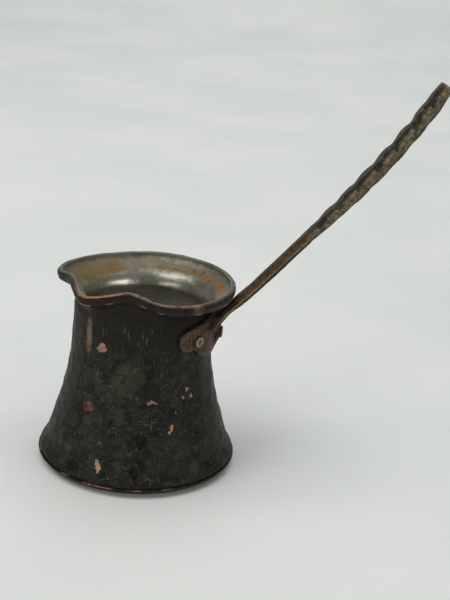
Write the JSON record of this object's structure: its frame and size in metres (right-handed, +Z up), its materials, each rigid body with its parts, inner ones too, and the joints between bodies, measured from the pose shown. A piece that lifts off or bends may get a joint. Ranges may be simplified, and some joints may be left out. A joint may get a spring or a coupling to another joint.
{
  "type": "cezve coffee pot",
  "caption": "Hammered copper cezve: a tinned pot with a wide base, narrow neck, flared rim with a pinched pour spout, and a long riveted handle.",
  "frame": {"origin": "centre of the flat underside of the base disc", "axes": "+Z up through the mouth, +X along the handle, +Y completing a right-handed frame"},
  "size_m": [0.167, 0.09, 0.1818],
  "materials": {
    "patinated_copper": "dark oxidised copper, hammered",
    "base_copper": "brown oxidised copper with a bare worn edge",
    "tin": "wiped tin coating, satin, stained",
    "forged_bronze": "brown and grey-green forged bronze, worn edges",
    "rivet_brass": "dull worn brass"
  },
  "bodies": {
    "root": {"body_wall": "patinated_copper", "base_disc": "base_copper", "tin_lining": "tin", "handle": "forged_bronze", "rivet_left": "rivet_brass", "rivet_centre": "rivet_brass", "rivet_right": "rivet_brass"}
  },
  "joints": []
}
